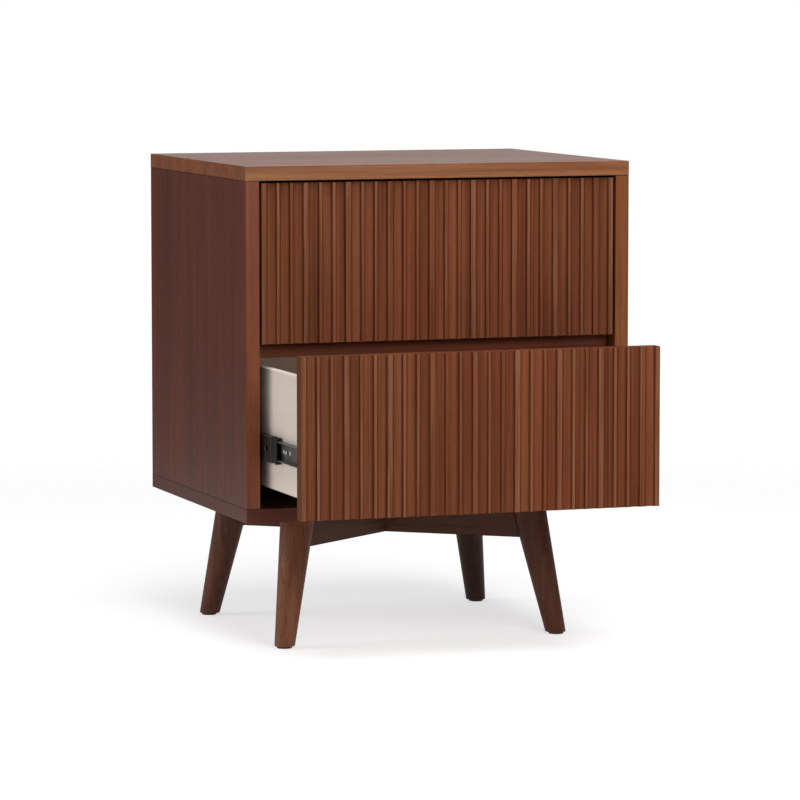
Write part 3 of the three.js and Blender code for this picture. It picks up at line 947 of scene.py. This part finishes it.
def finish_case():
    """The top, sides, bottom, middle rail and back."""
    left_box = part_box("left_side_panel")
    right_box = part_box("right_side_panel")
    top_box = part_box("top_panel")
    bottom_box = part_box("bottom_panel")
    both_ends = ("low", "high")
    left_extra = both(edge_band(left_box, LEFT_LIPPING), seam_shade_extra(left_box, both_ends))
    right_extra = both(edge_band(right_box, RIGHT_LIPPING), seam_shade_extra(right_box, both_ends))
    top_extra = both(edge_band(top_box, TOP_LIPPING, TOP_END_LIPPING),
                     seam_shade_extra(top_box, ("low",)))
    bottom_extra = seam_shade_extra(bottom_box, ("high",))
    paint("left_side_panel", stained_wood("walnut_left_side_shaded", GRAIN_UP, seed=3.1,
                                          tone=LEFT_SIDE_SHADE_TONE, extra=left_extra))
    paint("right_side_panel", stained_wood("walnut_right_side", GRAIN_UP, seed=4.9,
                                           extra=right_extra))
    paint("top_panel", stained_wood("walnut_top", GRAIN_ACROSS, 1.22, roughness=0.35, seed=7.7,
                                    specular=0.6, waxed_top=True, extra=top_extra))
    # The bottom's low level and its tone are painted shade from the drawers above.
    paint("bottom_panel", stained_wood("walnut_bottom_shaded", GRAIN_ACROSS, 0.68, seed=12.4,
                                       tone=BOTTOM_SHADE_TONE, extra=bottom_extra))
    paint("middle_rail", stained_wood("walnut_rail", GRAIN_ACROSS, seed=15.2, tone=RAIL_TONE))
    paint("back_panel", stained_wood("walnut_back", GRAIN_UP, 0.9, 0.8, 0.62, seed=21.9))
    ease("top_panel", TOP_ARRIS, 3)
    for panel in ("left_side_panel", "right_side_panel", "bottom_panel"):
        ease(panel, PANEL_ARRIS)
    ease("middle_rail", RAIL_ARRIS)
    ease("back_panel", BACK_ARRIS)


def finish_fronts():
    for which, seed in DRAWER_SEEDS.items():
        front = which + "_fluted_front"
        wood = stained_wood("fluted_walnut_" + which, GRAIN_UP, 1.02, 1.15, 0.5, seed,
                            fluted_extra(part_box(front)), specular=0.05, tone=FLUTED_TONE)
        fluted_front(front, wood)


def finish_legs(nylon, zinc):
    # Each leg's level is painted light and shade, not a difference in the wood.
    for name, level in LEG_LIGHT_AND_SHADE_LEVELS.items():
        leg(name, stained_wood(name + "_leg_walnut", GRAIN_UP, level, 1.3, 0.45,
                               LEG_SEED + level, tone=LEG_TONE))
        paint(name + "_leg_glide", nylon)
        ease(name + "_leg_glide", GLIDE_ARRIS)
        paint(name + "_leg_hanger_bolt", zinc)


def finish_braces(zinc):
    """The crossing boards, their grain turned to run along each, and the screws up into them."""
    for side, across in (("left", 1), ("right", -1)):
        node = "cross_brace_front_" + side
        low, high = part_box(node)
        angle = math.atan2(high.y - low.y, (high.x - low.x) * across)
        turn = Matrix.Rotation(math.radians(90), 3, "Y") @ Matrix.Rotation(-angle, 3, "Z")
        paint(node, stained_wood("walnut_brace_" + side, turn.to_euler(), 0.68, 0.9, 0.55,
                                 BRACE_SEED * across, tone=BRACE_TONE))
        ease(node, BRACE_ARRIS)
        for end in ("front", "rear"):
            node = f"cross_brace_screw_front_{side}_{end}"
            low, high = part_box(node)
            place = (low + high) / 2
            seat = (place.x, place.y, low.z + BRACE_SCREW.head_height)
            screw(node + "_pan_head", seat, (0, 0, 1), BRACE_SCREW, high.z - seat[2],
                  zinc, "cabinet", node)


def finish_drawers(plastic, zinc):
    """The drawer boxes, the screws into their fronts, and the slides."""
    box_side = pale_board("drawer_board_lengthways", GRAIN_DEEP)
    box_wall = pale_board("drawer_board_crossways", GRAIN_ACROSS)
    steel = coated_steel("slide_steel", COATED_TONE, 0.6, 0.34)
    # Painted highlight: the drawer members get a lighter copy of the slide coating.
    highlight_steel = coated_steel("slide_steel_rubbed", PAINTED_HIGHLIGHT_COATING_TONE, 0.5, 0.38)
    for which in DRAWER_SEEDS:
        for side in ("left", "right"):
            paint(f"{which}_box_{side}_side", box_side)
            ease(f"{which}_box_{side}_side", BOX_SIDE_ARRIS)
            node = f"{which}_front_screw_{side}"
            low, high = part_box(node)
            place = (low + high) / 2
            seat = (place.x, high.y - FRONT_SCREW.head_height, place.z)
            screw(node + "_pan_head", seat, (0, -1, 0), FRONT_SCREW, seat[1] - low.y,
                  zinc, which, node)
            slide_details(Slide(which, side), plastic, steel, zinc)
            slide = f"{which}_{side}_slide_"
            for member in ("cabinet_member", "middle_member", "drawer_member"):
                paint(slide + member, highlight_steel if member == "drawer_member" else steel)
                ease(slide + member, MEMBER_ARRIS, 2, PRESSED_ANGLE)
            paint(slide + "push_to_open_unit", plastic)
            ease(slide + "push_to_open_unit", UNIT_ARRIS, 2, PRESSED_ANGLE)
        for wall in ("front_wall", "back_wall", "bottom"):
            paint(f"{which}_box_{wall}", box_wall)
            ease(f"{which}_box_{wall}", BOX_WALL_ARRIS)


# ================================================================ making everything
bpy.context.scene.view_settings.view_transform = "Standard"
make_camera()
make_world()
for light, settings in LIGHTS.items():
    softbox(light, *settings)
make_floor()

black_plastic = moulded_plastic("black_plastic", PLASTIC_TONE)
zinc_steel = plated_steel("zinc_steel")
finish_case()
finish_fronts()
finish_legs(moulded_plastic("nylon", NYLON_TONE), zinc_steel)
finish_braces(zinc_steel)
finish_drawers(black_plastic, zinc_steel)
